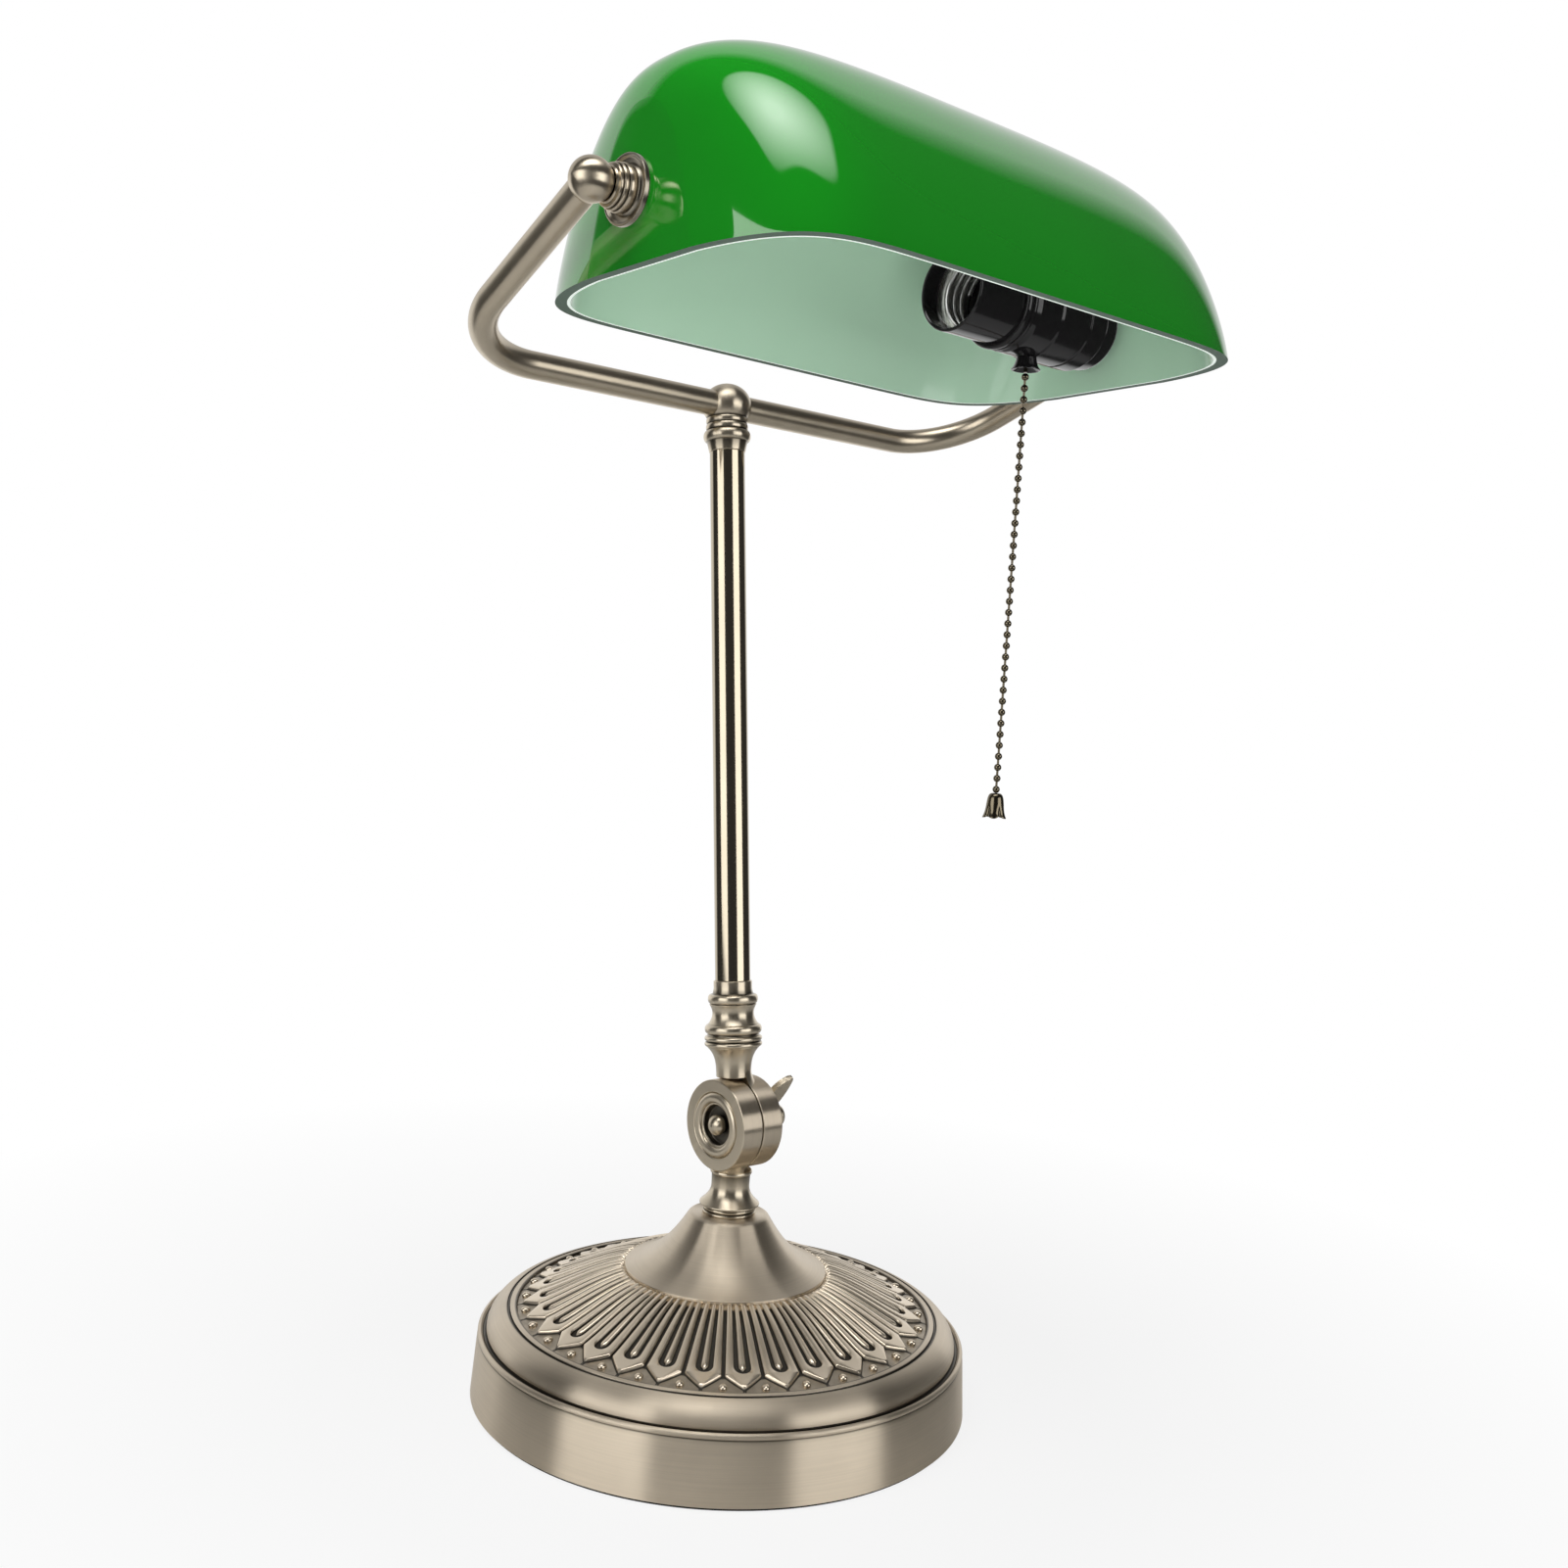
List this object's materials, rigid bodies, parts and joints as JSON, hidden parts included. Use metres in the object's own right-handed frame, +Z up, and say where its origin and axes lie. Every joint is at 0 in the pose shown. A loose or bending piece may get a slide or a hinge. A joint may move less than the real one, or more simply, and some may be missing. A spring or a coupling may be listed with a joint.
{
  "type": "desk lamp",
  "caption": "Desk lamp: weighted round base with a petal ornament, knuckle column, bent tube yoke, tilting glass shade on end pivots, bulb socket with a pull chain.",
  "frame": {"origin": "centre of the round base, on the table", "axes": "+Z up, -Y the front that the shade overhangs, +X along the shade towards the socket and chain"},
  "size_m": [0.2654, 0.2257, 0.4648],
  "materials": {
    "satin_brass": "satin antique brass",
    "polished_brass": "polished",
    "dark_brass": "dark patina, bright edges",
    "iron": "as cast",
    "steel": "plain zinc",
    "rubber": "matte black",
    "green_glass": "glossy, dense green",
    "opal_glass": "glossy opal white",
    "black_plastic": "glossy moulded",
    "shell_metal": "bright"
  },
  "bodies": {
    "base": {"felt_pad": "rubber", "base_shell": "satin_brass", "base_weight": "iron", "lotus_ring": "dark_brass", "bell_cone": "satin_brass", "stem_rod": "steel", "stem_nut": "steel", "stem_washer": "steel", "stem_sleeve": "steel", "cord_gland": "rubber", "lower_neck": "satin_brass", "friction_washer": "rubber", "knuckle_bolt": "satin_brass", "cap_nut": "satin_brass"},
    "thumb": {"thumb_nut": "satin_brass"},
    "arm": {"upper_neck": "satin_brass", "column_tube": "polished_brass", "tee_fitting": "satin_brass", "yoke_tube": "satin_brass", "ball_left": "satin_brass", "ball_right": "satin_brass", "collar_left": "satin_brass", "collar_right": "satin_brass", "nipple_left": "dark_brass", "nipple_right": "dark_brass", "lock_nut": "dark_brass", "socket_cap": "black_plastic", "socket_housing": "black_plastic", "socket_ring": "black_plastic", "socket_sleeve": "black_plastic", "screw_shell": "shell_metal", "socket_insulator": "black_plastic", "centre_contact": "satin_brass", "chain_guide": "black_plastic"},
    "shade": {"flange_left": "satin_brass", "flange_right": "satin_brass", "glass_washer_left": "rubber", "glass_washer_right": "rubber", "shade_glass": "green_glass", "shade_lining": "opal_glass"},
    "pull": {"switch_plunger": "dark_brass"},
    "chain_swivel": {"chain_top_bead": "dark_brass"},
    "chain": {"pull_chain": "dark_brass", "chain_finial": "dark_brass"}
  },
  "joints": [
    {"name": "column_tilt", "type": "hinge", "parent": "base", "child": "arm", "pos_m": [0, 0, 0.104], "axis": [1, 0, 0], "range_deg": [-25, 35]},
    {"name": "thumb_turn", "type": "hinge", "parent": "base", "child": "thumb", "pos_m": [0, 0, 0.104], "axis": [1, 0, 0], "range_deg": [-20, 180]},
    {"name": "shade_tilt", "type": "hinge", "parent": "arm", "child": "shade", "pos_m": [0, -0.05661, 0.4126], "axis": [1, 0, 0], "range_deg": [-35, 45]},
    {"name": "chain_pull", "type": "slide", "parent": "arm", "child": "pull", "axis": [0, 0, -1], "range_m": [0, 0.005], "stiffness_N_per_m": 800, "springref_m": -0.003},
    {"name": "chain_swing", "type": "hinge", "parent": "pull", "child": "chain_swivel", "pos_m": [0.0708, -0.05661, 0.38925], "axis": [1, 0, 0], "range_deg": [-15, 15]},
    {"name": "chain_sway", "type": "hinge", "parent": "chain_swivel", "child": "chain", "pos_m": [0.0708, -0.05661, 0.38925], "axis": [0, 1, 0], "range_deg": [-15, 15]}
  ]
}
